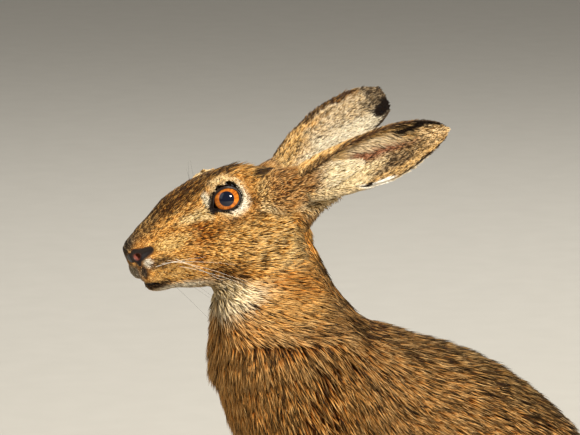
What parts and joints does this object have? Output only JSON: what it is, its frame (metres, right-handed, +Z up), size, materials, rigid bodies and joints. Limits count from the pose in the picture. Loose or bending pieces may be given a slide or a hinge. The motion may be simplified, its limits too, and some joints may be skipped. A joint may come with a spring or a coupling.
{
  "type": "brown hare",
  "caption": "Life-size still model of an adult brown hare sitting up alert, ears half back, faceted solids parted into head, neck, trunk, tail, legs, ears, eyes and claws.",
  "frame": {"origin": "on the floor, under the middle of the animal's bounding box", "axes": "+Z up, the hare faces -X, +Y is the hare's right side"},
  "size_m": [0.4004, 0.1484, 0.3782],
  "materials": {
    "fur": "soft ticked fur, golden ochre with black-brown tips",
    "ear_fur": "short fur, buff and grey outside, black at the tip",
    "skin": "bare moist skin of nose and eyelids",
    "eye": "wet amber eye with a blue-black pupil",
    "claw": "dark brown horn"
  },
  "bodies": {
    "root": {"head": "fur", "neck": "fur", "trunk": "fur", "tail": "fur", "ear_left": "ear_fur", "ear_right": "ear_fur", "eye_left": "eye", "eye_right": "eye", "upper_arm_left": "fur", "forearm_left": "fur", "forepaw_left": "fur", "thigh_left": "fur", "shank_left": "fur", "hind_foot_left": "fur", "upper_arm_right": "fur", "forearm_right": "fur", "forepaw_right": "fur", "thigh_right": "fur", "shank_right": "fur", "hind_foot_right": "fur", "claw_fore_left_1": "claw", "claw_fore_left_2": "claw", "claw_fore_left_3": "claw", "claw_fore_left_4": "claw", "claw_fore_left_5": "claw", "claw_hind_left_1": "claw", "claw_hind_left_2": "claw", "claw_hind_left_3": "claw", "claw_hind_left_4": "claw", "claw_fore_right_1": "claw", "claw_fore_right_2": "claw", "claw_fore_right_3": "claw", "claw_fore_right_4": "claw", "claw_fore_right_5": "claw", "claw_hind_right_1": "claw", "claw_hind_right_2": "claw", "claw_hind_right_3": "claw", "claw_hind_right_4": "claw"}
  },
  "joints": []
}
